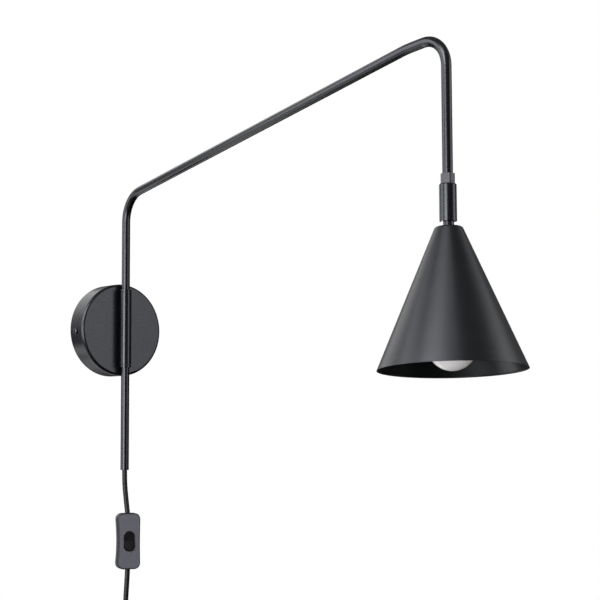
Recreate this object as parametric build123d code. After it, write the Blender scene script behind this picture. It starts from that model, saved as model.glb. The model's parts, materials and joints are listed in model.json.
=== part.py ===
from build123d import *
import os
from math import atan, cos, pi, radians, tan

# Swing arm wall lamp with a plug-in flex, in millimetres.
# The origin is the centre of the wall bracket's back face, on the wall plane y = 0.
# +Z is up, and the lamp stands out from the wall towards -Y.

# Canopy, the round cup on the wall, and the bracket that it is screwed to
CANOPY_D = 111.0
CANOPY_DEPTH = 27.8
CANOPY_WALL = 1.5
CANOPY_EDGE_R = 3.2
BRACKET_HALF = 52.6
BRACKET_WIDTH = 18.0
BRACKET_T = 1.5
BRACKET_TAB = 19.0
WALL_HOLE_D = 5.0
WALL_HOLE_SPACING = 60.0
SIDE_SCREW_Y = -12.7
SIDE_SCREW_Z = -3.0
SIDE_SCREW_L = 6.5
SCREW_D = 4.0
SCREW_HEAD_D = 7.5
SCREW_HEAD_H = 2.2
SCREW_CLEAR = 0.3
SCREW_TIP_GAP = 0.3
RECESS_L = 4.2
RECESS_W = 0.9
RECESS_DEPTH = 1.1

# Hinge sleeve on the canopy, and the arm's axis in it
AXIS_Y = -35.0
SLEEVE_D = 14.2
SLEEVE_BORE = 10.8
SLEEVE_BOTTOM = -41.9
SLEEVE_TOP = 44.9
SLEEVE_SCREW_Z = 25.0
SPACER_D = 8.0
BUSH_D = 12.0
BUSH_H = 10.0
COLLAR_H = 2.9
COLLAR_GAP = 0.7
GRUB_D = 1.6

# Arm: one bent tube from below the sleeve to the head
TUBE_D = 10.0
TUBE_BORE = 8.2
TUBE_BOTTOM = -168.3
ARM_REACH = 550.0
CORNER_WALL_Z = 160.7
CORNER_EASE_REACH = 496.0
CORNER_EASE_Z = 244.6
CORNER_HEAD_Z = 248.5
BEND_WALL_R = 35.4
BEND_EASE_R = 150.0
BEND_HEAD_R = 28.0
RUNNING_GAP = 0.06
FIT_GAP = 0.05

# Swivel and tilt joint between the arm and the shade
PIVOT_Z = 84.0
HEAD_TURN = -33.4
HEAD_LEAN = -4.5
COVER_D = 16.4
COVER_BORE = 14.2
COVER_BOTTOM = 71.2
COVER_TOP = 106.5
COVER_ROOF = 2.0
COVER_CHAMFER = 1.0
SLOT_W = 11.0
NUT_AF = 12.0
NUT_TOP = 116.2
NUT_GAP = 0.15
NUT_FACET_ANGLE = -24.0
NUT_CORNER_R = 1.2
TUBE_END_Z = 104.0
STEM_FLANGE_H = 1.6
STEM_FLANGE_D = 13.4
STEM_SPIGOT_H = 10.0
WIRE_BORE = 4.4
WASHER_H = 1.1
FORK_WEB_H = 5.0
EAR_INNER = 3.7
EAR_OUTER = 6.6
KNUCKLE_R = 4.4
TONGUE_HALF = 3.5
PIN_D = 3.0
PIN_INNER = 2.4
NECK_D = 10.3
NECK_START = 5.0
HEAD_WIRE_BORE = 3.6

# Shade, measured down its own axis from the tilt pivot
CAP_S = 18.5
RIM_S = 151.65
RIM_R = 69.7
CAP_R = 12.9
SHADE_T = 1.2
CAP_EDGE_R = 3.0
SPIGOT_D = 7.9
SPIGOT_END_S = 54.0
SHADE_NUT_AF = 13.0
SHADE_NUT_H = 4.0

# Lampholder and bulb, on the shade's axis
HOLDER_R = 14.0
HOLDER_TOP_S = 46.0
HOLDER_SPLIT_S = 58.0
HOLDER_END_S = 97.0
HOLDER_WALL = 2.0
HOLDER_SHOULDER_R = 8.0
HOLDER_SHOULDER_H = 6.0
TERMINAL_X = 7.0
TERMINAL_D = 4.0
SOCKET_R = 7.4
BASE_R = 6.9
BASE_TOP_S = 75.5
THREAD_TURNS = 5
THREAD_PITCH = 3.0
THREAD_DEPTH = 0.5
BULB_R = 23.2
BULB_S = 129.5
GLASS_T = 0.9
BULB_NECK_R = 9.5

# Flex, its switch, its coil and its plug
FLEX_D = 6.0
FLEX_GAP = 0.3
SWITCH_X, SWITCH_Y, SWITCH_Z = 3.2, -37.7, -252.4
SWITCH_TURN = -19.0
SWITCH_L = 66.0
SWITCH_W = 27.4
SWITCH_T = 16.0
SWITCH_CORNER_R = 7.0
SWITCH_EDGE_R = 2.0
SWITCH_WALL = 2.0
SWITCH_WAISTS = (1.2, 0.3)
ROCKER_W = 11.6
ROCKER_L = 22.0
ROCKER_GAP = 0.5
ROCKER_SWING = 7.0
ROCKER_PIVOT_Y = -5.5
SWITCH_SCREWS_XZ = [(-6.5, 20.0), (6.5, -20.0)]
BOSS_D = 6.0
SINK_D = 5.4
SINK_DEPTH = 2.2
CONTACT_Y, CONTACT_Z = 3.4, 7.5
CLAMP_Y, CLAMP_Z = 4.6, 27.0
COIL_X, COIL_Z = 0.0, -405.0
COIL_R_IN = 31.0
COIL_R_OUT = 37.1
COIL_Y_WALL = -24.0
COIL_Y_ROOM = -47.9
STRAP_W = 6.0
STRAP_T = 1.0
STRAP_GAP = 0.2
STRAP_ANGLE = 135.0
PLUG_W = 35.0
PLUG_SHOULDER_W = 22.0
PLUG_CORNER_R = 5.0
PLUG_T = 14.0
PLUG_L = 33.0
PIN_SPACING = 18.6
PLUG_PIN_D = 4.0
PLUG_PIN_L = 19.0
PLUG_PIN_SLEEVE = 9.0
RELIEF_L = 24.0

SWITCH_TOP_Z = SWITCH_Z + SWITCH_L / 2
SWITCH_BOTTOM_Z = SWITCH_Z - SWITCH_L / 2
UPPER_ROUTE = [
    (0.0, AXIS_Y, TUBE_BOTTOM),
    (0.0, AXIS_Y, -183.0),
    (1.5, -36.2, -203.0),
    (3.0, -37.5, SWITCH_TOP_Z - 1.5),
]
LOWER_ROUTE = [
    (3.2, -37.8, SWITCH_BOTTOM_Z + 1.5),
    (2.6, -37.2, -302.0),
    (1.6, -36.4, -322.0),
    (3.0, -34.5, -345.0),
    (8.0, -29.5, -367.0),
    (22.0, -25.0, -383.0),
]
TAIL_ROUTE = [
    (37.1, -28.2, -405.0),
    (37.9, -29.2, -422.0),
    (36.4, -30.6, -443.0),
    (34.6, -31.4, -462.0),
]

UP = (Align.CENTER, Align.CENTER, Align.MIN)
MID = (Align.CENTER, Align.CENTER, Align.CENTER)
TURNED_TO_Y = Rot(90, 0, 0)
TURNED_TO_X = Rot(0, 90, 0)

AXIS = Pos(0, AXIS_Y, 0)
HEAD_Y = AXIS_Y - ARM_REACH
DROP = Pos(0, HEAD_Y, 0)
SWIVEL = Pos(0, HEAD_Y, 0) * Rot(0, 0, HEAD_TURN)
HEAD = Pos(0, HEAD_Y, PIVOT_Z) * Rot(0, 0, HEAD_TURN) * Rot(HEAD_LEAN, 0, 0)
SWITCH = Pos(SWITCH_X, SWITCH_Y, SWITCH_Z) * Rot(0, 0, SWITCH_TURN)

PARTS = {}


def rod(diameter, low, high):
    """A cylinder on the Z axis between two heights."""
    return Pos(0, 0, low) * Cylinder(diameter / 2, high - low, align=UP)


def pipe(outer, bore, low, high):
    """A hollow cylinder on the Z axis between two heights."""
    return rod(outer, low, high) - rod(bore, low - 1, high + 1)


def turned(points):
    """A solid turned about Z from points given as radius and height."""
    outline = make_face(Plane.XZ * Polyline(*points, close=True))
    return revolve(outline, Axis.Z)


def cross_rod(diameter, near, far, x=0.0, z=0.0):
    """A cylinder parallel to Y between two distances."""
    return Pos(x, (near + far) / 2, z) * TURNED_TO_Y * Cylinder(diameter / 2, abs(far - near), align=MID)


def side_rod(diameter, near, far, y=0.0, z=0.0):
    """A cylinder parallel to X between two distances."""
    return Pos((near + far) / 2, y, z) * TURNED_TO_X * Cylinder(diameter / 2, abs(far - near), align=MID)


def hexagon(across_flats, low, high, facet_angle=30.0, corner_r=0.0):
    """A hexagonal prism with one facet's normal at the angle given, and its top corners turned off."""
    outline = Rot(0, 0, facet_angle - 30.0) * RegularPolygon(across_flats / 2, 6, major_radius=False)
    if corner_r > 0:
        outline = fillet(outline.vertices(), corner_r)
    prism = Pos(0, 0, low) * extrude(outline, high - low)
    corner = across_flats / 2 / cos(radians(30))
    turned_off = turned([
        (0, low),
        (corner, low),
        (corner, high - 0.5),
        (across_flats / 2 - 0.1, high),
        (0, high),
    ])
    return prism & turned_off


def path_length(line):
    return sum(edge.length for edge in line.edges())


def routed_tube(name, points, diameter):
    """A tube along straight runs joined by arcs as large as the runs allow."""
    vectors = [Vector(*point) for point in points]
    runs = [b - a for a, b in zip(vectors, vectors[1:])]
    radii = []
    for before, after in zip(runs, runs[1:]):
        half_turn = radians(before.get_angle(after)) / 2
        radii.append(0.45 * min(before.length, after.length) / tan(half_turn))
    line = FilletPolyline(*points, radius=radii)
    section = Plane(origin=vectors[0], z_dir=runs[0]) * Circle(diameter / 2)
    tube = sweep(section, path=line)
    expected = pi * diameter**2 / 4 * path_length(line)
    print(name, "radii", [round(r) for r in radii], "length", round(path_length(line), 1),
          "volume over section times length", round(tube.volume / expected, 4))
    return tube, path_length(line)


def keep(name, shape):
    PARTS[name] = shape


# ---- Wall bracket, canopy and hinge sleeve --------------------------------------------------

def wall_bracket():
    strip = Pos(0, -BRACKET_T / 2, 0) * Box(2 * BRACKET_HALF, BRACKET_T, BRACKET_WIDTH)
    for side in (-1, 1):
        tab_x = side * (BRACKET_HALF - BRACKET_T / 2)
        strip += Pos(tab_x, -BRACKET_TAB / 2, 0) * Box(BRACKET_T, BRACKET_TAB, BRACKET_WIDTH)
        strip -= cross_rod(WALL_HOLE_D, 1, -3, x=side * WALL_HOLE_SPACING / 2)
        strip -= side_rod(
            SCREW_D + 0.1,
            side * (BRACKET_HALF - 3),
            side * (BRACKET_HALF + 1),
            y=SIDE_SCREW_Y,
            z=SIDE_SCREW_Z,
        )
    return strip


def canopy_cup():
    radius = CANOPY_D / 2
    cup = cross_rod(CANOPY_D, 0, -CANOPY_DEPTH)
    cup = fillet(cup.edges().sort_by(Axis.Y)[0], CANOPY_EDGE_R)
    cup -= cross_rod(CANOPY_D - 2 * CANOPY_WALL, 1, -CANOPY_DEPTH + CANOPY_WALL)
    for side in (-1, 1):
        cup -= side_rod(
            SCREW_D + SCREW_CLEAR,
            side * (radius - 4),
            side * (radius + 1),
            y=SIDE_SCREW_Y,
            z=SIDE_SCREW_Z,
        )
        cup -= cross_rod(
            SCREW_D + SCREW_CLEAR, -CANOPY_DEPTH - 1, -CANOPY_DEPTH + 4, z=side * SLEEVE_SCREW_Z
        )
    return cup


def pan_screw(length):
    """A pan head screw on Z, its head above the origin, with a cross recess."""
    head = fillet(
        rod(SCREW_HEAD_D, 0, SCREW_HEAD_H).edges().sort_by(Axis.Z)[-1], SCREW_HEAD_H * 0.6
    )
    across = 2 * RECESS_DEPTH
    cross = Box(RECESS_L, RECESS_W, across) + Box(RECESS_W, RECESS_L, across)
    recess = Pos(0, 0, SCREW_HEAD_H) * cross
    return (head - recess) + rod(SCREW_D, -length, 0)


def canopy_side_screws():
    screw = pan_screw(SIDE_SCREW_L)
    right = Pos(CANOPY_D / 2, SIDE_SCREW_Y, SIDE_SCREW_Z) * TURNED_TO_X * screw
    left = Pos(-CANOPY_D / 2, SIDE_SCREW_Y, SIDE_SCREW_Z) * Rot(0, -90, 0) * screw
    return Compound([right, left])


def sleeve_screws():
    """Screws from inside the canopy that end just short of the sleeve's bore."""
    face = -CANOPY_DEPTH + CANOPY_WALL
    bore_wall = AXIS_Y + SLEEVE_BORE / 2
    screw = Rot(-90, 0, 0) * pan_screw(face - bore_wall - SCREW_TIP_GAP)
    return Compound([Pos(0, face, z) * screw for z in (-SLEEVE_SCREW_Z, SLEEVE_SCREW_Z)])


def sleeve_spacers():
    """Saddle washers that seat the round sleeve on the canopy's flat face."""
    spacers = []
    for z in (-SLEEVE_SCREW_Z, SLEEVE_SCREW_Z):
        spacer = cross_rod(SPACER_D, -CANOPY_DEPTH, AXIS_Y + 3, z=z)
        spacer -= AXIS * rod(SLEEVE_D, SLEEVE_BOTTOM, SLEEVE_TOP)
        spacer -= cross_rod(SCREW_D + SCREW_CLEAR, 0, AXIS_Y, z=z)
        spacers.append(spacer)
    return Compound(spacers)


def hinge_sleeve():
    sleeve = pipe(SLEEVE_D, SLEEVE_BORE, SLEEVE_BOTTOM, SLEEVE_TOP)
    sleeve -= rod(BUSH_D + 2 * FIT_GAP, SLEEVE_TOP - BUSH_H, SLEEVE_TOP + 1)
    sleeve -= rod(BUSH_D + 2 * FIT_GAP, SLEEVE_BOTTOM - 1, SLEEVE_BOTTOM + BUSH_H)
    sleeve = AXIS * sleeve
    for z in (-SLEEVE_SCREW_Z, SLEEVE_SCREW_Z):
        sleeve -= cross_rod(SCREW_D + 0.1, -CANOPY_DEPTH, AXIS_Y, z=z)
    return sleeve


def sleeve_bush(low):
    return AXIS * pipe(BUSH_D, TUBE_D + 2 * RUNNING_GAP, low, low + BUSH_H)


# ---- Arm ------------------------------------------------------------------------------------

def arm_path(low, end_z):
    return FilletPolyline(
        (0, AXIS_Y, low),
        (0, AXIS_Y, CORNER_WALL_Z),
        (0, AXIS_Y - CORNER_EASE_REACH, CORNER_EASE_Z),
        (0, HEAD_Y, CORNER_HEAD_Z),
        (0, HEAD_Y, end_z),
        radius=[BEND_WALL_R, BEND_EASE_R, BEND_HEAD_R],
    )


def bent_rod(diameter, low, end_z):
    section = Pos(0, AXIS_Y, low) * Circle(diameter / 2)
    return sweep(section, path=arm_path(low, end_z))


def arm_tube():
    tube = bent_rod(TUBE_D, TUBE_BOTTOM, TUBE_END_Z)
    return tube - bent_rod(TUBE_BORE, TUBE_BOTTOM - 1, TUBE_END_Z - 1)


def collar(low):
    ring = pipe(SLEEVE_D, TUBE_D + 0.1, low, low + COLLAR_H)
    return AXIS * (ring - cross_rod(GRUB_D + 0.1, 3, 8, z=low + COLLAR_H / 2))


def collar_grub_screws(lows):
    return Compound([
        AXIS * cross_rod(GRUB_D, TUBE_D / 2 + 0.1, SLEEVE_D / 2 - 0.3, z=low + COLLAR_H / 2)
        for low in lows
    ])


def tube_end_bush():
    return AXIS * pipe(TUBE_BORE - 0.1, FLEX_D + 0.2, TUBE_BOTTOM + 0.4, TUBE_BOTTOM + 8.4)


def hex_lock_nut():
    nut = hexagon(NUT_AF, COVER_TOP + NUT_GAP, NUT_TOP, NUT_FACET_ANGLE, NUT_CORNER_R)
    return DROP * (nut - rod(TUBE_D + 0.1, COVER_TOP - 1, NUT_TOP + 1))


def swivel_stem():
    flange = rod(STEM_FLANGE_D, TUBE_END_Z - STEM_FLANGE_H, TUBE_END_Z)
    spigot = rod(TUBE_BORE - 0.1, TUBE_END_Z, TUBE_END_Z + STEM_SPIGOT_H)
    return DROP * (flange + spigot - rod(WIRE_BORE, TUBE_END_Z - 5, TUBE_END_Z + 20))


# ---- Swivel body ----------------------------------------------------------------------------

STEM_BOTTOM = TUBE_END_Z - STEM_FLANGE_H
WEB_TOP = STEM_BOTTOM - WASHER_H - 0.1
WEB_BOTTOM = WEB_TOP - FORK_WEB_H


def joint_cover():
    cover = rod(COVER_D, COVER_BOTTOM, COVER_TOP)
    cover = chamfer(cover.edges().sort_by(Axis.Z)[-1], COVER_CHAMFER)
    cover -= rod(COVER_BORE, COVER_BOTTOM - 1, COVER_TOP - COVER_ROOF)
    cover -= rod(TUBE_D + 2 * RUNNING_GAP, COVER_BOTTOM, COVER_TOP + 1)
    reach = COVER_D
    cover -= Pos(0, reach / 2, (COVER_BOTTOM - 1 + PIVOT_Z) / 2) * Box(
        SLOT_W, reach, PIVOT_Z - COVER_BOTTOM + 1
    )
    cover -= cross_rod(SLOT_W, 0, reach, z=PIVOT_Z)
    return SWIVEL * cover


def swivel_washer():
    low = WEB_TOP + 0.02
    return SWIVEL * pipe(STEM_FLANGE_D, WIRE_BORE + 1.6, low, low + WASHER_H)


def knuckle_fork():
    width = EAR_OUTER - EAR_INNER
    ears = []
    for side in (-1, 1):
        x = side * (EAR_INNER + EAR_OUTER) / 2
        ear = Pos(x, 0, (PIVOT_Z + WEB_TOP) / 2) * Box(width, 2 * KNUCKLE_R, WEB_TOP - PIVOT_Z)
        ear += side_rod(2 * KNUCKLE_R, x - width / 2, x + width / 2, z=PIVOT_Z)
        ears.append(ear)
    fork = rod(COVER_BORE, WEB_BOTTOM, WEB_TOP) + ears[0] + ears[1]
    fork &= rod(COVER_BORE - 2 * FIT_GAP, PIVOT_Z - 10, WEB_TOP)
    fork -= rod(WIRE_BORE, WEB_BOTTOM - 1, WEB_TOP + 1)
    fork -= side_rod(PIN_D + 0.1, -10, 10, z=PIVOT_Z)
    return SWIVEL * fork


def pivot_pins():
    pins = []
    for side in (-1, 1):
        pins.append(SWIVEL * side_rod(PIN_D, side * PIN_INNER, side * (EAR_OUTER - 0.3), z=PIVOT_Z))
    return Compound(pins)


# ---- Head -----------------------------------------------------------------------------------

def knuckle_tongue():
    tongue = Pos(0, 0, -NECK_START / 2) * Box(2 * TONGUE_HALF, 2 * KNUCKLE_R, NECK_START)
    tongue += side_rod(2 * KNUCKLE_R, -TONGUE_HALF, TONGUE_HALF)
    tongue += rod(NECK_D, -CAP_S, -NECK_START)
    tongue += rod(SPIGOT_D, -SPIGOT_END_S, -CAP_S)
    tongue -= rod(HEAD_WIRE_BORE, -SPIGOT_END_S - 1, KNUCKLE_R + 1)
    tongue -= side_rod(PIN_D + 0.1, -5, 5)
    return HEAD * tongue


CONE_TAN = (RIM_R - CAP_R) / (RIM_S - CAP_S)
CONE_COS = cos(atan(CONE_TAN))


def cone_radius(s, inset=0.0):
    """The shade's radius at a distance down its axis, less a wall inset square to the wall."""
    return CAP_R + CONE_TAN * (s - CAP_S) - inset / CONE_COS


def shade():
    outer = turned([(0, -CAP_S), (CAP_R, -CAP_S), (RIM_R, -RIM_S), (0, -RIM_S)])
    outer = fillet(outer.edges().sort_by(Axis.Z)[-1], CAP_EDGE_R)
    roof = CAP_S + SHADE_T
    below = RIM_S + 2
    inner = turned([
        (0, -roof),
        (cone_radius(roof, SHADE_T), -roof),
        (cone_radius(below, SHADE_T), -below),
        (0, -below),
    ])
    inner = fillet(inner.edges().sort_by(Axis.Z)[-1], CAP_EDGE_R - SHADE_T)
    return HEAD * (outer - inner - rod(SPIGOT_D + SCREW_CLEAR, -roof - 1, -CAP_S + 1))


def shade_nut():
    top = -CAP_S - SHADE_T - 0.02
    nut = hexagon(SHADE_NUT_AF, top - SHADE_NUT_H, top)
    return HEAD * (nut - rod(SPIGOT_D + 0.1, top - 10, top + 1))


def lampholder_cap():
    top = -HOLDER_TOP_S
    end = -HOLDER_SPLIT_S
    outside = [
        (0, top),
        (HOLDER_SHOULDER_R, top),
        (HOLDER_R, top - HOLDER_SHOULDER_H),
        (HOLDER_R, end),
        (0, end),
    ]
    hollow = [
        (0, top - HOLDER_WALL),
        (HOLDER_SHOULDER_R - HOLDER_WALL / 2, top - HOLDER_WALL),
        (HOLDER_R - HOLDER_WALL, top - HOLDER_SHOULDER_H - HOLDER_WALL / 2),
        (HOLDER_R - HOLDER_WALL, end - 1),
        (0, end - 1),
    ]
    return HEAD * (turned(outside) - turned(hollow) - rod(SPIGOT_D + 0.1, top - 5, top + 1))


def lampholder_body():
    body = rod(2 * HOLDER_R, -HOLDER_END_S, -HOLDER_SPLIT_S)
    body = chamfer(body.edges().sort_by(Axis.Z)[0], 1.0)
    body -= rod(2 * SOCKET_R + 1.2, -HOLDER_END_S - 1, -BASE_TOP_S + 3.5)
    for side in (-1, 1):
        body -= Pos(side * TERMINAL_X, 0, 0) * rod(TERMINAL_D, -BASE_TOP_S, -HOLDER_SPLIT_S + 1)
    return HEAD * body


def lampholder_shell():
    return HEAD * pipe(2 * SOCKET_R + 1.1, 2 * SOCKET_R, -HOLDER_END_S + 1.5, -BASE_TOP_S + 2)


def bulb_base():
    thread = [(0, -BASE_TOP_S), (2.4, -BASE_TOP_S), (4.2, -BASE_TOP_S - 2.4), (BASE_R, -BASE_TOP_S - 3)]
    z = -BASE_TOP_S - 3
    for _ in range(THREAD_TURNS):
        thread += [
            (BASE_R, z - THREAD_PITCH / 3),
            (BASE_R - THREAD_DEPTH, z - 2 * THREAD_PITCH / 3),
            (BASE_R, z - THREAD_PITCH),
        ]
        z -= THREAD_PITCH
    thread += [(BASE_R + 0.2, z - 1), (BASE_R + 0.2, -HOLDER_END_S - 1.4), (0, -HOLDER_END_S - 1.4)]
    return HEAD * turned(thread)


def bulb_globe():
    top = -HOLDER_END_S - 1.5

    def blown(inset):
        ball = Pos(0, 0, -BULB_S) * Sphere(BULB_R - inset)
        neck = turned([
            (0, top + (1 if inset else 0)),
            (BULB_NECK_R - inset, top + (1 if inset else 0)),
            (BULB_NECK_R - inset, top - 1),
            (BULB_NECK_R + 6 - inset, top - 9),
            (BULB_NECK_R + 6 - inset, -BULB_S + 8),
            (0, -BULB_S + 8),
        ])
        return ball + neck

    return HEAD * (blown(0) - blown(GLASS_T))


# ---- Switch on the flex ---------------------------------------------------------------------

def waisted_outline(width, length, corner):
    """The switch's front outline: a rounded rectangle drawn in at its middle, more on its left."""
    outline = fillet(Rectangle(width, length).vertices(), corner)
    reach = length / 2 - corner - 1.5
    for side, waist in zip((-1, 1), SWITCH_WAISTS):
        side_r = (reach**2 + waist**2) / (2 * waist)
        centre = side * (width / 2 - waist + side_r)
        outline -= Pos(centre, 0) * Circle(side_r)
    return outline


def switch_half(front):
    """One half of the housing, split on the flex's axis."""
    side = -1 if front else 1
    outline = TURNED_TO_Y * waisted_outline(SWITCH_W, SWITCH_L, SWITCH_CORNER_R)
    shell = extrude(outline, SWITCH_T / 2, dir=(0, side, 0))
    outer_edges = shell.edges().group_by(Axis.Y)[0 if front else -1]
    shell = fillet(outer_edges, SWITCH_EDGE_R)
    hollow = TURNED_TO_Y * waisted_outline(
        SWITCH_W - 2 * SWITCH_WALL, SWITCH_L - 2 * SWITCH_WALL, SWITCH_CORNER_R - SWITCH_WALL
    )
    shell -= extrude(hollow, SWITCH_T / 2 - SWITCH_WALL, dir=(0, side, 0))
    shell -= rod(FLEX_D + 1.0, -SWITCH_L, SWITCH_L)
    return shell


def switch_housing_front():
    shell = switch_half(True)
    opening = TURNED_TO_Y * SlotOverall(ROCKER_L + 2 * ROCKER_GAP, ROCKER_W + 2 * ROCKER_GAP, 90)
    shell -= Pos(0, -SWITCH_T / 2 - 1, 0) * extrude(opening, SWITCH_T / 2, dir=(0, 1, 0))
    return SWITCH * shell


def switch_housing_back():
    shell = switch_half(False)
    for x, z in SWITCH_SCREWS_XZ:
        shell += cross_rod(BOSS_D, 0.2, SWITCH_T / 2 - 1, x=x, z=z)
        shell -= cross_rod(2.8, -1, SWITCH_T / 2 + 1, x=x, z=z)
        shell -= cross_rod(SINK_D, SWITCH_T / 2 - SINK_DEPTH, SWITCH_T / 2 + 1, x=x, z=z)
    return SWITCH * shell


def switch_screws():
    screws = []
    for x, z in SWITCH_SCREWS_XZ:
        head = cross_rod(5.0, SWITCH_T / 2 - 2.1, SWITCH_T / 2 - 0.6, x=x, z=z)
        head -= Pos(x, SWITCH_T / 2 - 0.6, z) * (Box(3.2, 1.4, 0.7) + Box(0.7, 1.4, 3.2))
        screws.append(SWITCH * (head + cross_rod(2.5, 0.4, SWITCH_T / 2 - 2.1, x=x, z=z)))
    return Compound(screws)


def switch_rocker():
    """Two faces that meet in a shallow valley, rocked so that the upper end is pressed in."""
    half = ROCKER_L / 2
    face_y = -SWITCH_T / 2 + 0.1
    rise = half * tan(radians(ROCKER_SWING))
    valley = Polyline(
        (face_y, 0),
        (face_y - rise, half),
        (face_y + 4.4, half),
        (face_y + 5.2, 0),
        (face_y + 4.4, -half),
        (face_y - rise, -half),
        close=True,
    )
    block = extrude(Plane.YZ * make_face(valley), ROCKER_W / 2, both=True)
    outline = TURNED_TO_Y * SlotOverall(ROCKER_L, ROCKER_W, 90)
    block &= extrude(outline, SWITCH_T, dir=(0, -1, 0))
    pivot = Pos(0, ROCKER_PIVOT_Y, 0)
    return SWITCH * pivot * Rot(-ROCKER_SWING, 0, 0) * pivot.inverse() * block


def switch_contacts():
    """Two brass terminals behind the rocker."""
    bars = []
    for side in (-1, 1):
        bars.append(SWITCH * Pos(0, CONTACT_Y, side * CONTACT_Z) * Box(7, 2.4, 9))
    return Compound(bars)


def switch_cord_clamps():
    """A bar across the flex inside each end of the housing."""
    bars = []
    for side in (-1, 1):
        bars.append(SWITCH * Pos(0, CLAMP_Y, side * CLAMP_Z) * Box(12, 2, 4))
    return Compound(bars)


# ---- Coil and plug --------------------------------------------------------------------------

def flex_coil():
    mid_r = (COIL_R_IN + COIL_R_OUT) / 2
    radial = COIL_R_OUT - COIL_R_IN + FLEX_D
    across = COIL_Y_WALL - COIL_Y_ROOM + FLEX_D
    section = Pos(mid_r, 0) * fillet(Rectangle(radial, across).vertices(), FLEX_D / 2 - 0.1)
    ring = revolve(Plane.XZ * section, Axis.Z)
    return Pos(COIL_X, (COIL_Y_WALL + COIL_Y_ROOM) / 2, COIL_Z) * TURNED_TO_Y * ring


def coil_tie():
    """A strap round the coil's turns at the top left."""
    mid_r = (COIL_R_IN + COIL_R_OUT) / 2
    radial = COIL_R_OUT - COIL_R_IN + FLEX_D
    across = COIL_Y_WALL - COIL_Y_ROOM + FLEX_D
    grown = 2 * (STRAP_GAP + STRAP_T)
    eased = 2 * STRAP_GAP
    outside = fillet(Rectangle(radial + grown, across + grown).vertices(), FLEX_D / 2 + STRAP_T)
    inside = fillet(Rectangle(radial + eased, across + eased).vertices(), FLEX_D / 2)
    strap = extrude(outside - inside, STRAP_W / 2, both=True)
    centre = Pos(COIL_X, (COIL_Y_WALL + COIL_Y_ROOM) / 2, COIL_Z)
    return centre * TURNED_TO_Y * Rot(0, 0, STRAP_ANGLE) * Pos(mid_r, 0, 0) * TURNED_TO_Y * strap


PLUG_TOP = TAIL_ROUTE[-1]
PLUG = Pos(*PLUG_TOP)


def plug_strain_relief():
    relief = turned([
        (0, 0),
        (FLEX_D / 2 + 0.8, 0),
        (PLUG_T / 2 - 1.5, -RELIEF_L),
        (0, -RELIEF_L),
    ])
    return PLUG * relief


def plug_body():
    tapered = loft([
        Pos(0, 0, -RELIEF_L) * RectangleRounded(PLUG_SHOULDER_W, PLUG_T - 1, PLUG_CORNER_R),
        Pos(0, 0, -RELIEF_L - PLUG_L) * RectangleRounded(PLUG_W, PLUG_T, PLUG_CORNER_R),
    ])
    for side in (-1, 1):
        tapered += Pos(side * PIN_SPACING / 2, 0, 0) * rod(
            PLUG_PIN_D - 0.2, -RELIEF_L - PLUG_L - PLUG_PIN_SLEEVE, -RELIEF_L - PLUG_L
        )
    return PLUG * tapered


def plug_pins():
    top = -RELIEF_L - PLUG_L - PLUG_PIN_SLEEVE
    pins = []
    for side in (-1, 1):
        pin = rod(PLUG_PIN_D, top - PLUG_PIN_L + PLUG_PIN_SLEEVE, top)
        pin = fillet(pin.edges().sort_by(Axis.Z)[0], 1.6)
        pins.append(PLUG * Pos(side * PIN_SPACING / 2, 0, 0) * pin)
    return Compound(pins)


# ---- All nodes ------------------------------------------------------------------------------

upper_collar_low = SLEEVE_TOP + COLLAR_GAP
lower_collar_low = SLEEVE_BOTTOM - COLLAR_GAP - COLLAR_H

keep("wall_bracket", wall_bracket())
keep("canopy_cup", canopy_cup())
keep("canopy_side_screws", canopy_side_screws())
keep("sleeve_spacers", sleeve_spacers())
keep("sleeve_screws", sleeve_screws())
keep("hinge_sleeve", hinge_sleeve())
keep("sleeve_bush_upper", sleeve_bush(SLEEVE_TOP - BUSH_H))
keep("sleeve_bush_lower", sleeve_bush(SLEEVE_BOTTOM))
keep("arm_tube", arm_tube())
keep("collar_upper", collar(upper_collar_low))
keep("collar_lower", collar(lower_collar_low))
keep("collar_grub_screws", collar_grub_screws([upper_collar_low, lower_collar_low]))
keep("tube_end_bush", tube_end_bush())
keep("flex_in_arm", bent_rod(FLEX_D, TUBE_BOTTOM + FLEX_GAP, TUBE_END_Z + STEM_SPIGOT_H + FLEX_GAP))
keep("hex_lock_nut", hex_lock_nut())
keep("swivel_stem", swivel_stem())
keep("joint_cover", joint_cover())
keep("swivel_washer", swivel_washer())
keep("knuckle_fork", knuckle_fork())
keep("pivot_pins", pivot_pins())
keep("knuckle_tongue", knuckle_tongue())
keep("shade", shade())
keep("shade_nut", shade_nut())
keep("lampholder_cap", lampholder_cap())
keep("lampholder_body", lampholder_body())
keep("lampholder_shell", lampholder_shell())
keep("bulb_base", bulb_base())
keep("bulb_globe", bulb_globe())
keep("switch_housing_front", switch_housing_front())
keep("switch_housing_back", switch_housing_back())
keep("switch_screws", switch_screws())
keep("switch_rocker", switch_rocker())
keep("switch_contacts", switch_contacts())
keep("switch_cord_clamps", switch_cord_clamps())

upper_tube, upper_length = routed_tube("flex_upper", UPPER_ROUTE, FLEX_D)
lower_tube, lower_length = routed_tube("flex_lower", LOWER_ROUTE, FLEX_D)
tail_tube, tail_length = routed_tube("flex_tail", TAIL_ROUTE, FLEX_D)
keep("flex_upper", upper_tube)
keep("flex_lower", lower_tube)
keep("flex_tail", tail_tube)
keep("flex_coil", flex_coil())
keep("coil_tie", coil_tie())
keep("plug_strain_relief", plug_strain_relief())
keep("plug_body", plug_body())
keep("plug_pins", plug_pins())

print("visible flex", round(upper_length + lower_length, 1), "tail", round(tail_length, 1))

os.makedirs("parts", exist_ok=True)
for name, shape in PARTS.items():
    export_step(shape, f"parts/{name}.step")
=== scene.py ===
import json
from math import atan2, cos, pi, radians, sin

import bmesh
import bpy
from mathutils import Matrix, Vector


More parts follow.
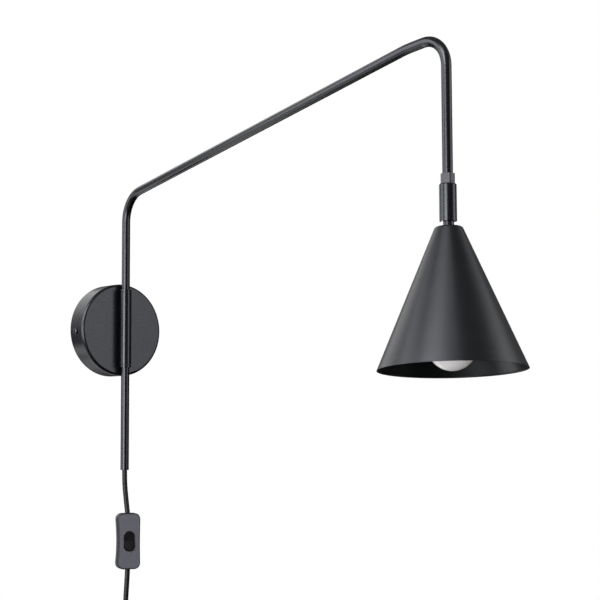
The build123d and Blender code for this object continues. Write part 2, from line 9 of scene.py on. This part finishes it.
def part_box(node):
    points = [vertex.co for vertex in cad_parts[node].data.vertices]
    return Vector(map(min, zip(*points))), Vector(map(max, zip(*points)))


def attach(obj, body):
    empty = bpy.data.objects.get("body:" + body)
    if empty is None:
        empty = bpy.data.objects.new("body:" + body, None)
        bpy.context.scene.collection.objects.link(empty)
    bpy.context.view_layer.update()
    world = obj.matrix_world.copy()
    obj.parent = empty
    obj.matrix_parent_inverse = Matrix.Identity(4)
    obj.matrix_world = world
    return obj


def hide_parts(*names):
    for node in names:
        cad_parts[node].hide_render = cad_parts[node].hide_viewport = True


# Swing arm wall lamp. Lengths are in metres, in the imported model's frame: the wall is the plane y = 0,
# +Z is up and the arm stands out towards -Y. MM turns the design's millimetres into metres.

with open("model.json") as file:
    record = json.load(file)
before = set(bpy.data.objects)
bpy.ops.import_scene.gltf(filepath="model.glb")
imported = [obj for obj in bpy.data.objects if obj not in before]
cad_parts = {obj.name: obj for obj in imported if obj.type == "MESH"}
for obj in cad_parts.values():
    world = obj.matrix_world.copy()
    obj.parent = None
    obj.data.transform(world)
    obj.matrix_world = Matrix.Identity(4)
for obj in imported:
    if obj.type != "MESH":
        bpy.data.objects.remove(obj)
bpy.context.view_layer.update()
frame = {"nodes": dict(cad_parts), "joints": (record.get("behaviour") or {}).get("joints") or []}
nodes = frame["nodes"]
joints = {joint["name"]: joint for joint in frame["joints"]}

MM = 0.001

# Places that come from the frame: the tilt, rocker and arm joints and their axes
PIVOT = Vector(joints["head_tilt"]["pos_m"])
TILT_AXIS = Vector(joints["head_tilt"]["axis"])
ROCKER_PIVOT = Vector(joints["rocker_tip"]["pos_m"])
ROCKER_AXIS = Vector(joints["rocker_tip"]["axis"])
ARM_PIVOT = joints["arm_swing"]["pos_m"]
ARM_AXIS = Matrix.Translation((ARM_PIVOT[0], ARM_PIVOT[1], 0.0))

# The shade leans a little from plumb at rest, about the tilt axis
HEAD_LEAN = radians(-4.5)
HEAD = (
    Matrix.Translation(PIVOT)
    @ Matrix.Rotation(atan2(TILT_AXIS.y, TILT_AXIS.x), 4, "Z")
    @ Matrix.Rotation(HEAD_LEAN, 4, "X")
)

# The switch's own frame, behind the rocker's pivot, with its front face towards -Y
ROCKER_PIVOT_AHEAD = 5.5 * MM
SWITCH = (
    Matrix.Translation(ROCKER_PIVOT)
    @ Matrix.Rotation(atan2(ROCKER_AXIS.y, ROCKER_AXIS.x), 4, "Z")
    @ Matrix.Translation((0.0, ROCKER_PIVOT_AHEAD, 0.0))
)

# Camera
CAMERA_PLACE = Vector((-0.98296, -1.5658, -0.12106))
CAMERA_TURN = radians(-39.36)
CAMERA_LIFT = radians(4.94)
CAMERA_ROLL = radians(-0.23)
CAMERA_LENS = 90.0
CAMERA_SENSOR = 36.0

# Flex
FLEX_D = 6.0 * MM
COIL_CENTRE = Vector((0.0, 0.0, -0.405))
COIL_R_IN = 31.0 * MM
COIL_R_OUT = 37.1 * MM
COIL_Y_WALL = -24.0 * MM
COIL_Y_ROOM = -47.9 * MM
COIL_START = 45.0
COIL_TURNS = 7.125
COIL_STEPS = 16
COIL_INNER_TURNS = 3.5
COIL_RAMP_TURNS = 0.4
COIL_PITCH = 6.3 * MM


# ---- Camera -----------------------------------------------------------------------------------

def make_camera():
    data = bpy.data.cameras.new("camera")
    data.lens = CAMERA_LENS
    data.sensor_width = CAMERA_SENSOR
    data.clip_start = 0.05
    data.clip_end = 60.0
    camera = bpy.data.objects.new("camera", data)
    bpy.context.scene.collection.objects.link(camera)
    camera.matrix_world = (
        Matrix.Translation(CAMERA_PLACE)
        @ Matrix.Rotation(CAMERA_TURN, 4, "Z")
        @ Matrix.Rotation(radians(90) + CAMERA_LIFT, 4, "X")
        @ Matrix.Rotation(CAMERA_ROLL, 4, "Z")
    )
    bpy.context.scene.camera = camera


make_camera()


# ---- Flex: one length from the tube's end, through the switch, to a tied coil and the plug ------

def nurbs_flex(name, points):
    data = bpy.data.curves.new(name, "CURVE")
    data.dimensions = "3D"
    data.bevel_depth = FLEX_D / 2
    data.bevel_resolution = 7
    data.resolution_u = 10
    data.use_fill_caps = True
    spline = data.splines.new("NURBS")
    spline.points.add(len(points) - 1)
    for place, point in zip(spline.points, points):
        place.co = (point[0], point[1], point[2], 1.0)
    spline.order_u = 3
    spline.use_endpoint_u = True
    flex = bpy.data.objects.new(name, data)
    bpy.context.scene.collection.objects.link(flex)
    return flex


def smooth_step(value):
    value = min(max(value, 0.0), 1.0)
    return value * value * (3 - 2 * value)


def coil_point(turn):
    """A point of the coil's winding: an inner layer one way, then an outer layer back over it."""
    radius = COIL_R_IN + (COIL_R_OUT - COIL_R_IN) * smooth_step(
        (turn - COIL_INNER_TURNS) / COIL_RAMP_TURNS
    )
    outer_start = COIL_INNER_TURNS + COIL_RAMP_TURNS
    if turn < outer_start:
        across = COIL_Y_WALL + (COIL_Y_ROOM - COIL_Y_WALL) * turn / outer_start
    else:
        across = COIL_Y_ROOM + COIL_PITCH * (turn - outer_start)
    angle = radians(COIL_START - 360 * turn)
    # A spline of order 3 runs inside its control points by the cosine of half a step
    control = radius / cos(pi / COIL_STEPS)
    return (
        COIL_CENTRE.x + control * cos(angle),
        across,
        COIL_CENTRE.z + control * sin(angle),
    )


upper_route = [
    (0.0, -0.035, -0.1683),
    (0.0, -0.035, -0.183),
    (0.0015, -0.0362, -0.203),
    (0.003, -0.0375, -0.2209),
]
lower_route = [
    (0.0032, -0.0378, -0.2839),
    (0.0026, -0.0372, -0.302),
    (0.0016, -0.0364, -0.322),
    (0.003, -0.0345, -0.345),
    (0.008, -0.0295, -0.367),
]
coil_route = [coil_point(step / COIL_STEPS) for step in range(int(COIL_TURNS * COIL_STEPS) + 1)]
tail_route = [
    (0.0379, -0.0292, -0.422),
    (0.0364, -0.0306, -0.443),
    (0.0346, -0.0314, -0.462),
]

flex_upper = nurbs_flex("flex_to_switch", upper_route)
flex_lower = nurbs_flex("flex_to_plug", lower_route + coil_route + tail_route)


# ---- Node helpers -------------------------------------------------------------------------------

class Nodes:
    """A material's node tree, with short calls for the nodes that the materials use."""

    def __init__(self, name):
        self.material = bpy.data.materials.new(name)
        self.material.use_nodes = True
        self.tree = self.material.node_tree
        self.shader = self.tree.nodes["Principled BSDF"]

    def add(self, kind, settings=None, **inputs):
        node = self.tree.nodes.new(kind)
        for key, value in (settings or {}).items():
            setattr(node, key, value)
        for key, value in inputs.items():
            socket = node.inputs[int(key[1:])] if key[0] == "i" and key[1:].isdigit() else node.inputs[key]
            if isinstance(value, bpy.types.NodeSocket):
                self.tree.links.new(value, socket)
            else:
                socket.default_value = value
        return node

    def set(self, name, value):
        socket = self.shader.inputs[name]
        if isinstance(value, bpy.types.NodeSocket):
            self.tree.links.new(value, socket)
        else:
            socket.default_value = value

    def place(self):
        return self.add("ShaderNodeTexCoord").outputs["Object"]

    def noise(self, scale, detail=3.0, roughness=0.55, vector=None):
        node = self.add(
            "ShaderNodeTexNoise",
            Vector=vector or self.place(),
            Scale=scale,
            Detail=detail,
            Roughness=roughness,
        )
        return node.outputs["Fac"]

    def stretched(self, x, y, z):
        node = self.add("ShaderNodeMapping", Vector=self.place(), Scale=(x, y, z))
        return node.outputs["Vector"]

    def math(self, operation, a, b):
        return self.add("ShaderNodeMath", {"operation": operation}, i0=a, i1=b).outputs[0]

    def spread(self, value, low, high):
        """A 0 to 1 value, its middle half stretched over a range."""
        node = self.add("ShaderNodeMapRange", i0=value, i1=0.25, i2=0.75, i3=low, i4=high)
        return node.outputs[0]

    def tint(self, factor, dark, light):
        node = self.add("ShaderNodeMix", {"data_type": "RGBA"})
        self.tree.links.new(factor, node.inputs[0])
        node.inputs[6].default_value = (*dark, 1)
        node.inputs[7].default_value = (*light, 1)
        return node.outputs[2]

    def bump(self, height, strength, distance, normal=None):
        node = self.add("ShaderNodeBump", Height=height, Strength=strength, Distance=distance)
        if normal is not None:
            self.tree.links.new(normal, node.inputs["Normal"])
        return node.outputs["Normal"]


# ---- Materials ----------------------------------------------------------------------------------

COAT_TINT = (0.88, 0.91, 1.0, 1.0)


def powder_coat(name, dark, light, rough, peel, grain):
    """Satin black powder coat: orange peel and a finer grain, each as a height in millimetres."""
    n = Nodes(name)
    n.set("Base Color", n.tint(n.noise(35.0, 4.0), dark, light))
    n.set("Roughness", n.spread(n.noise(420.0, 3.0), *rough))
    waves = n.bump(n.noise(700.0, 2.0, 0.5), 1.0, peel * MM)
    n.set("Normal", n.bump(n.noise(2400.0, 2.0, 0.6), 1.0, grain * MM, waves))
    n.set("Specular Tint", COAT_TINT)
    return n.material


def spun_coat(name, dark, light):
    """The shade's coat: satin black over spun metal, whose fine rings run round its axis."""
    n = Nodes(name)
    rings = n.noise(1.0, 3.0, 0.6, n.stretched(14.0, 14.0, 1100.0))
    wide_rings = n.noise(1.0, 2.0, 0.5, n.stretched(5.0, 5.0, 240.0))
    mottle = n.noise(28.0, 4.0)
    blend = n.math("ADD", n.math("MULTIPLY", rings, 0.5), n.math("MULTIPLY", mottle, 0.5))
    n.set("Base Color", n.tint(n.spread(blend, 0.0, 1.0), dark, light))
    n.set("Roughness", n.spread(rings, 0.29, 0.37))
    first = n.bump(rings, 1.0, 0.03 * MM)
    second = n.bump(wide_rings, 1.0, 0.03 * MM, first)
    n.set("Normal", n.bump(n.noise(2600.0, 2.0), 1.0, 0.008 * MM, second))
    n.set("Specular Tint", COAT_TINT)
    return n.material


def bright_metal(name, dark, light, rough, brushed=(60.0, 60.0, 2400.0)):
    n = Nodes(name)
    n.set("Metallic", 1.0)
    lines = n.noise(1.0, 3.0, 0.6, n.stretched(*brushed))
    n.set("Base Color", n.tint(n.noise(300.0), dark, light))
    n.set("Roughness", n.spread(lines, rough * 0.75, rough * 1.3))
    n.set("Normal", n.bump(lines, 0.12, 0.02 * MM))
    return n.material


def moulded(name, dark, light, rough, grain_scale, grain, shine=0.5):
    """Moulded plastic or rubber, with a fine spark-eroded grain, its height in millimetres."""
    n = Nodes(name)
    n.set("Base Color", n.tint(n.noise(grain_scale * 0.4, 4.0), dark, light))
    n.set("Roughness", n.spread(n.noise(grain_scale, 3.0), rough * 0.88, rough * 1.12))
    n.set("Normal", n.bump(n.noise(grain_scale, 3.0, 0.65), 1.0, grain * MM))
    n.set("Specular IOR Level", shine)
    return n.material


def case_with_painted_side_shade(name, dark, light, front, side):
    """A moulded case with a fine grain, its sides painted darker than its front and back as painted shade, by
    a side factor on their colour.
    """
    n = Nodes(name)
    normal = n.add("ShaderNodeTexCoord").outputs["Normal"]
    facing = n.add("ShaderNodeVectorMath", {"operation": "DOT_PRODUCT"}, i0=normal, i1=front)
    along = n.math("ABSOLUTE", facing.outputs["Value"], 0.0)
    face = n.add("ShaderNodeMapRange", i0=along, i1=0.9, i2=0.99, i3=0.0, i4=1.0).outputs[0]
    grain = n.noise(1300.0, 3.0, 0.65)
    mottle = n.noise(520.0, 4.0)
    # Painted shade: faces turned away from the front take the colour scaled by the side factor.
    tone = n.add("ShaderNodeMix", {"data_type": "RGBA"})
    n.tree.links.new(face, tone.inputs[0])
    n.tree.links.new(n.tint(mottle, side * Vector(dark), side * Vector(light)), tone.inputs[6])
    n.tree.links.new(n.tint(mottle, dark, light), tone.inputs[7])
    n.set("Base Color", tone.outputs[2])
    n.set("Roughness", n.spread(grain, 0.44, 0.56))
    n.set("Normal", n.bump(grain, 1.0, 0.14 * MM))
    n.set("Specular IOR Level", 0.2)
    return n.material


def opal_glass(name):
    n = Nodes(name)
    n.set("Base Color", n.tint(n.noise(40.0, 2.0), (0.88, 0.86, 0.86), (0.94, 0.925, 0.92)))
    n.set("Roughness", n.spread(n.noise(160.0), 0.22, 0.30))
    n.set("Normal", n.bump(n.noise(90.0, 2.0), 1.0, 0.01 * MM))
    n.set("Coat Weight", 0.3)
    n.set("Coat Roughness", 0.12)
    # Painted glow: a weak emission brightens the globe, which is switched off.
    n.set("Emission Color", (1.0, 0.96, 0.97, 1.0))
    n.set("Emission Strength", 0.13)
    n.set("Subsurface Weight", 0.25)
    n.set("Subsurface Radius", (6 * MM, 5 * MM, 4 * MM))
    n.set("Subsurface Scale", 1.0)
    return n.material


COAT_DARK = (0.0015, 0.0015, 0.002)
COAT_LIGHT = (0.0035, 0.0035, 0.004)
COAT = powder_coat("black_powder_coat", COAT_DARK, COAT_LIGHT, (0.22, 0.26), 0.002, 0.002)
CANOPY_COAT = powder_coat("canopy_powder_coat", COAT_DARK, COAT_LIGHT, (0.26, 0.31), 0.03, 0.02)
SHADE_COAT = spun_coat("spun_black_coat", (0.001, 0.0012, 0.0012), (0.004, 0.0043, 0.0045))
ZINC = bright_metal("zinc_plated_steel", (0.55, 0.56, 0.58), (0.70, 0.71, 0.73), 0.25)
DARK_ZINC = bright_metal("black_zinc_plate", (0.05, 0.05, 0.055), (0.09, 0.09, 0.095), 0.30)
PIN_METAL = bright_metal("nickel_plate", (0.62, 0.60, 0.56), (0.74, 0.72, 0.68), 0.16)
BRASS = bright_metal("brass", (0.62, 0.46, 0.20), (0.76, 0.58, 0.28), 0.28)
CAP_METAL = bright_metal("rolled_aluminium", (0.62, 0.62, 0.63), (0.76, 0.76, 0.77), 0.30)
NYLON = moulded("black_nylon", (0.026, 0.026, 0.027), (0.040, 0.040, 0.042), 0.45, 1500.0, 0.02)
SWITCH_DARK = (0.065, 0.065, 0.078)
SWITCH_LIGHT = (0.115, 0.115, 0.136)
SWITCH_FRONT = SWITCH.to_3x3() @ Vector((0.0, -1.0, 0.0))
# Painted shade on the switch's sides: darkest on the front half, lighter on the back half.
SWITCH_PLASTIC = case_with_painted_side_shade("switch_plastic", SWITCH_DARK, SWITCH_LIGHT, SWITCH_FRONT, 0.2)
BACK_PLASTIC = case_with_painted_side_shade("switch_back_plastic", SWITCH_DARK, SWITCH_LIGHT, SWITCH_FRONT, 0.6)
ROCKER_DARK = (0.006, 0.006, 0.007)
ROCKER_LIGHT = (0.009, 0.009, 0.010)
ROCKER_PLASTIC = moulded("rocker_plastic", ROCKER_DARK, ROCKER_LIGHT, 0.09, 500.0, 0.002)
HOLDER_PLASTIC = moulded("phenolic", (0.022, 0.021, 0.020), (0.034, 0.033, 0.031), 0.42, 900.0, 0.01)
FLEX_DARK = (0.004, 0.004, 0.005)
FLEX_LIGHT = (0.008, 0.008, 0.010)
FLEX_PVC = moulded("flex_pvc", FLEX_DARK, FLEX_LIGHT, 0.38, 1300.0, 0.012, 0.25)
PLUG_PVC = moulded("plug_pvc", (0.026, 0.026, 0.028), (0.038, 0.038, 0.040), 0.46, 1500.0, 0.03)
OPAL = opal_glass("opal_glass")

NODE_MATERIALS = {
    "wall_bracket": ZINC,
    "canopy_cup": CANOPY_COAT,
    "canopy_side_screws": DARK_ZINC,
    "sleeve_spacers": COAT,
    "sleeve_screws": ZINC,
    "hinge_sleeve": COAT,
    "sleeve_bush_upper": NYLON,
    "sleeve_bush_lower": NYLON,
    "arm_tube": COAT,
    "collar_upper": COAT,
    "collar_lower": COAT,
    "collar_grub_screws": ZINC,
    "tube_end_bush": NYLON,
    "flex_in_arm": FLEX_PVC,
    "hex_lock_nut": COAT,
    "swivel_stem": ZINC,
    "joint_cover": COAT,
    "swivel_washer": ZINC,
    "knuckle_fork": ZINC,
    "pivot_pins": ZINC,
    "knuckle_tongue": COAT,
    "shade": SHADE_COAT,
    "shade_nut": ZINC,
    "lampholder_cap": HOLDER_PLASTIC,
    "lampholder_body": HOLDER_PLASTIC,
    "lampholder_shell": BRASS,
    "bulb_base": CAP_METAL,
    "bulb_globe": OPAL,
    "switch_housing_front": SWITCH_PLASTIC,
    "switch_housing_back": BACK_PLASTIC,
    "switch_screws": ZINC,
    "switch_rocker": ROCKER_PLASTIC,
    "switch_contacts": BRASS,
    "switch_cord_clamps": NYLON,
    "coil_tie": NYLON,
    "plug_strain_relief": PLUG_PVC,
    "plug_body": PLUG_PVC,
    "plug_pins": PIN_METAL,
}

for node_name, material in NODE_MATERIALS.items():
    materials = nodes[node_name].data.materials
    materials.clear()
    materials.append(material)

flex_upper.data.materials.append(FLEX_PVC)
flex_lower.data.materials.append(FLEX_PVC)


# ---- Detail pieces -------------------------------------------------------------------------------

SWITCH_FACE_Y = -8.0 * MM
OPENING_HALF_W = 6.3 * MM
OPENING_HALF_L = 11.5 * MM
PLUG_TOP = Vector((0.0346, -0.0314, -0.462))
RELIEF_L = 24.0 * MM
RELIEF_R_TOP = 3.8 * MM
RELIEF_R_END = 5.5 * MM
RIB_COUNT = 5
RIB_FIRST = 3.0 * MM
RIB_PITCH = 4.4 * MM
RIB_R = 0.9 * MM
RIDGE_COUNT = 4
RIDGE_FIRST = 7.0 * MM
RIDGE_PITCH = 5.0 * MM
RIDGE_FACE_Y = 6.5 * MM
RIDGE_FACE_STEP = 0.075 * MM
RIDGE_W = 12.0 * MM
RIDGE_W_STEP = 1.8 * MM
RIDGE_STAND = 1.6 * MM
RIDGE_H = 2.0 * MM
RIDGE_EDGE = 0.6 * MM
HOLDER_R = 14.0 * MM
HOLDER_SPLIT_S = 58.0 * MM
HOLDER_END_S = 97.0 * MM
GRIP_COUNT = 7
GRIP_INSET = 4.0 * MM
GRIP_SINK = 0.1 * MM
GRIP_R = 0.6 * MM
WASHER_R_IN = 5.25 * MM
WASHER_R_OUT = 5.7 * MM
WASHER_PLAY = 0.05 * MM
HEM_R = 68.0 * MM
HEM_S = 150.75 * MM
HEM_BEAD_R = 0.55 * MM
TIE_ANGLE = radians(135)
TIE_R = 42.6 * MM
TIE_Y = (COIL_Y_WALL + COIL_Y_ROOM) / 2
BUCKLE_SIZE = (4.2 * MM, 8.0 * MM, 7.6 * MM)
BUCKLE_EDGE = 0.7 * MM
TIE_TAIL_PLACE = (0.4 * MM, -7.0 * MM, 0.0)
TIE_TAIL_SIZE = (1.0 * MM, 9.0 * MM, 5.0 * MM)
TIE_TAIL_EDGE = 0.3 * MM


def finish_piece(name, bm, material, body):
    """A mesh piece with smooth faces and sharp corners, which rides on a body."""
    bmesh.ops.recalc_face_normals(bm, faces=bm.faces)
    mesh = bpy.data.meshes.new(name)
    bm.to_mesh(mesh)
    bm.free()
    for face in mesh.polygons:
        face.use_smooth = True
    mesh.set_sharp_from_angle(angle=radians(40))
    mesh.materials.append(material)
    piece = bpy.data.objects.new(name, mesh)
    bpy.context.scene.collection.objects.link(piece)
    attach(piece, body)
    return piece


def join_loops(bm, loops):
    """Faces between neighbouring closed loops of vertices, the last joined to the first."""
    for near, far in zip(loops, loops[1:] + loops[:1]):
        for i in range(len(near)):
            j = (i + 1) % len(near)
            bm.faces.new((near[i], far[i], far[j], near[j]))


def bead(radius, height, thick, count=12):
    """A round section at a radius and a height, as points for a ring."""
    points = []
    for step in range(count):
        angle = 2 * pi * step / count
        points.append((radius + thick * cos(angle), height + thick * sin(angle)))
    return points


def add_ring(bm, place, section, segments=72):
    """A ring turned about the place's Z axis from a closed section of radius and height."""
    loops = []
    for step in range(segments):
        angle = 2 * pi * step / segments
        loops.append([bm.verts.new(place @ Vector((r * cos(angle), r * sin(angle), z))) for r, z in section])
    join_loops(bm, loops)


def add_block(bm, place, size, edge):
    """A block with rounded edges, centred on its place."""
    made = bmesh.ops.create_cube(bm, size=1.0, matrix=place @ Matrix.Diagonal((*size, 1.0)))
    edges = {each for vert in made["verts"] for each in vert.link_edges}
    bmesh.ops.bevel(bm, geom=list(edges), offset=edge, segments=3, profile=0.5, affect="EDGES")


def rocker_bezel():
    """A rounded, glossy rim round the rocker's opening."""
    # Millimetres out from the opening's edge, and down from the switch's face
    section = [(0.0, 0.6), (0.0, 0.1), (0.15, -0.25), (0.35, -0.4), (0.55, -0.25), (0.65, 0.05), (0.65, 0.6)]
    bm = bmesh.new()
    half_straight = OPENING_HALF_L - OPENING_HALF_W
    steps = 64
    loops = []
    for step in range(steps):
        angle = 2 * pi * (step + 0.5) / steps
        centre_z = half_straight if sin(angle) > 0 else -half_straight
        loop = []
        for out, depth in section:
            reach = OPENING_HALF_W + out * MM
            place = Vector((reach * cos(angle), SWITCH_FACE_Y + depth * MM, centre_z + reach * sin(angle)))
            loop.append(bm.verts.new(SWITCH @ place))
        loops.append(loop)
    join_loops(bm, loops)
    return finish_piece("rocker_bezel", bm, ROCKER_PLASTIC, "wall_fixing")


def relief_ribs():
    """Ribs round the plug's tapered strain relief, so that it bends evenly."""
    bm = bmesh.new()
    place = Matrix.Translation(PLUG_TOP)
    for rib in range(RIB_COUNT):
        down = RIB_FIRST + RIB_PITCH * rib
        radius = RELIEF_R_TOP + (RELIEF_R_END - RELIEF_R_TOP) * down / RELIEF_L
        add_ring(bm, place, bead(radius, -down, RIB_R))
    return finish_piece("relief_ribs", bm, PLUG_PVC, "wall_fixing")


def plug_ridges():
    """Finger ridges across both broad faces of the plug."""
    bm = bmesh.new()
    for side in (-1, 1):
        for ridge in range(RIDGE_COUNT):
            down = RELIEF_L + RIDGE_FIRST + RIDGE_PITCH * ridge
            face = side * (RIDGE_FACE_Y + RIDGE_FACE_STEP * (ridge + 1))
            width = RIDGE_W + RIDGE_W_STEP * ridge
            place = Matrix.Translation(PLUG_TOP + Vector((0.0, face, -down)))
            add_block(bm, place, (width, RIDGE_STAND, RIDGE_H), RIDGE_EDGE)
    return finish_piece("plug_ridges", bm, PLUG_PVC, "wall_fixing")


def tie_buckle():
    """The cable tie's locking head on the outside of the coil, with the strap's cut end."""
    bm = bmesh.new()
    out = Vector((cos(TIE_ANGLE), 0.0, sin(TIE_ANGLE)))
    place = (
        Matrix.Translation(COIL_CENTRE + Vector((0.0, TIE_Y, 0.0)) + out * TIE_R)
        @ Matrix.Rotation(-TIE_ANGLE, 4, "Y")
    )
    add_block(bm, place, BUCKLE_SIZE, BUCKLE_EDGE)
    add_block(bm, place @ Matrix.Translation(TIE_TAIL_PLACE), TIE_TAIL_SIZE, TIE_TAIL_EDGE)
    return finish_piece("tie_buckle", bm, NYLON, "wall_fixing")


def holder_ridges():
    """Grip ridges round the lampholder's body."""
    bm = bmesh.new()
    first = HOLDER_SPLIT_S + GRIP_INSET
    pitch = (HOLDER_END_S - GRIP_INSET - first) / (GRIP_COUNT - 1)
    for ridge in range(GRIP_COUNT):
        add_ring(bm, HEAD, bead(HOLDER_R - GRIP_SINK, -(first + pitch * ridge), GRIP_R))
    return finish_piece("holder_ridges", bm, HOLDER_PLASTIC, "head")


def thrust_washers():
    """Nylon washers in the two gaps between the sleeve and the arm's collars."""
    bm = bmesh.new()
    for upper, lower in (("collar_upper", "hinge_sleeve"), ("hinge_sleeve", "collar_lower")):
        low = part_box(lower)[1][2] + WASHER_PLAY
        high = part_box(upper)[0][2] - WASHER_PLAY
        section = [(WASHER_R_IN, low), (WASHER_R_OUT, low), (WASHER_R_OUT, high), (WASHER_R_IN, high)]
        add_ring(bm, ARM_AXIS, section)
    return finish_piece("thrust_washers", bm, NYLON, "arm")


def shade_hem():
    """The small rolled hem inside the shade's rim."""
    bm = bmesh.new()
    add_ring(bm, HEAD, bead(HEM_R, -HEM_S, HEM_BEAD_R), 144)
    return finish_piece("shade_hem", bm, SHADE_COAT, "head")


bezel = rocker_bezel()
ribs = relief_ribs()
ridges = plug_ridges()
buckle = tie_buckle()
holder_ridges()
thrust_washers()
shade_hem()

# Small rounded corners on the turned, cut and moulded parts, by node, in millimetres
SOFT_CORNERS = {
    "switch_housing_front": 0.35,
    "switch_housing_back": 0.35,
    "hex_lock_nut": 0.2,
    "collar_upper": 0.2,
    "collar_lower": 0.2,
    "hinge_sleeve": 0.25,
    "joint_cover": 0.15,
    "lampholder_cap": 0.3,
    "coil_tie": 0.25,
    "plug_body": 0.5,
    "wall_bracket": 0.2,
    "switch_rocker": 0.9,
}

for node_name, corner in SOFT_CORNERS.items():
    bevel = nodes[node_name].modifiers.new("soft_corners", "BEVEL")
    bevel.width = corner * MM
    bevel.segments = 3
    bevel.limit_method = "ANGLE"
    bevel.angle_limit = radians(40)


# ---- Flex: what it rides on and what it stands for ----------------------------------------------

for flex in (flex_upper, flex_lower):
    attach(flex, "wall_fixing")
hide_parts("flex_upper")
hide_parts("flex_lower", "flex_coil", "flex_tail")


# ---- Light, floor and background ----------------------------------------------------------------

MIDDLE = Vector((0.0, -0.35, 0.0))

# Name, angle from the camera's side of the lamp in degrees (negative is the camera's left), distance and
# height from the lamp's middle, width, height of the box, and power in watts
SOFTBOXES = [
    ("key_high", -38, 2.1, 1.4, 1.3, 1.3, 54),
    ("key_low", -30, 2.4, -0.1, 1.4, 1.3, 54),
    ("top_front", -14, 1.5, 2.0, 1.3, 0.8, 6),
    ("left_side", -83, 2.3, 0.6, 1.6, 2.6, 46),
    ("left_rear", -138, 2.3, 1.0, 1.6, 2.0, 14),
    ("left_low", -108, 2.0, -1.3, 1.4, 1.4, 10),
    ("right_side", 76, 1.24, 0.2, 0.66, 1.0, 5.0),
    ("right_rear", 106, 2.4, 1.1, 0.9, 0.8, 1.5),
    ("right_high", 100, 2.1, 1.6, 1.2, 1.1, 1.5),
    ("rear_low", -150, 1.5, -1.2, 1.4, 0.7, 5),
    ("low_left", -48, 1.2, -1.15, 0.9, 0.6, 1.6),
]


def softbox(name, angle, distance, rise, width, height, power):
    """A soft light round the lamp, aimed at its middle and unseen by the camera."""
    data = bpy.data.lights.new(name, "AREA")
    data.shape = "RECTANGLE"
    data.size = width
    data.size_y = height
    data.energy = power
    light = bpy.data.objects.new(name, data)
    bpy.context.scene.collection.objects.link(light)
    turn = CAMERA_TURN + radians(angle)
    place = MIDDLE + Vector((sin(turn) * distance, -cos(turn) * distance, rise))
    light.location = place
    light.rotation_euler = (MIDDLE - place).to_track_quat("-Z", "Y").to_euler()
    light.visible_camera = False


for settings in SOFTBOXES:
    softbox(*settings)

# The surroundings' brightness, which rises from below to above between two heights of view
SURROUND_ABOVE = 0.21
SURROUND_BELOW = 0.03
SURROUND_FROM = -0.05
SURROUND_TO = 0.45

FLOOR_HALF = 5.0
FLOOR_Z = -1.35


def make_world():
    """Soft surroundings for the lamp, and plain white for the camera."""
    world = bpy.data.worlds.new("studio")
    bpy.context.scene.world = world
    world.use_nodes = True
    tree = world.node_tree
    surround = tree.nodes["Background"]
    surround.inputs[0].default_value = (1, 1, 1, 1)
    direction = tree.nodes.new("ShaderNodeTexCoord")
    height = tree.nodes.new("ShaderNodeSeparateXYZ")
    above = tree.nodes.new("ShaderNodeMapRange")
    for socket, value in zip(above.inputs[1:5], (SURROUND_FROM, SURROUND_TO, SURROUND_BELOW, SURROUND_ABOVE)):
        socket.default_value = value
    tree.links.new(direction.outputs["Generated"], height.inputs[0])
    tree.links.new(height.outputs["Z"], above.inputs[0])
    tree.links.new(above.outputs[0], surround.inputs[1])
    seen = tree.nodes.new("ShaderNodeBackground")
    seen.inputs[0].default_value = (1, 1, 1, 1)
    seen.inputs[1].default_value = 1.0
    path = tree.nodes.new("ShaderNodeLightPath")
    mix = tree.nodes.new("ShaderNodeMixShader")
    tree.links.new(path.outputs["Is Camera Ray"], mix.inputs[0])
    tree.links.new(surround.outputs[0], mix.inputs[1])
    tree.links.new(seen.outputs[0], mix.inputs[2])
    tree.links.new(mix.outputs[0], tree.nodes["World Output"].inputs[0])


def make_floor():
    mesh = bpy.data.meshes.new("floor")
    corners = [(x * FLOOR_HALF, y * FLOOR_HALF, 0) for x, y in ((-1, -1), (1, -1), (1, 1), (-1, 1))]
    mesh.from_pydata(corners, [], [(0, 1, 2, 3)])
    floor = bpy.data.objects.new("floor", mesh)
    bpy.context.scene.collection.objects.link(floor)
    floor.location = (MIDDLE.x, MIDDLE.y, FLOOR_Z)
    floor.visible_diffuse = False
    floor.visible_glossy = False
    n = Nodes("pale_floor")
    n.set("Base Color", n.tint(n.noise(3.0), (0.26, 0.26, 0.26), (0.30, 0.30, 0.30)))
    n.set("Roughness", 0.9)
    n.set("Emission Color", (1.0, 1.0, 1.0, 1.0))
    n.set("Emission Strength", 0.8)
    mesh.materials.append(n.material)


make_world()
make_floor()
bpy.context.scene.view_settings.view_transform = "Standard"
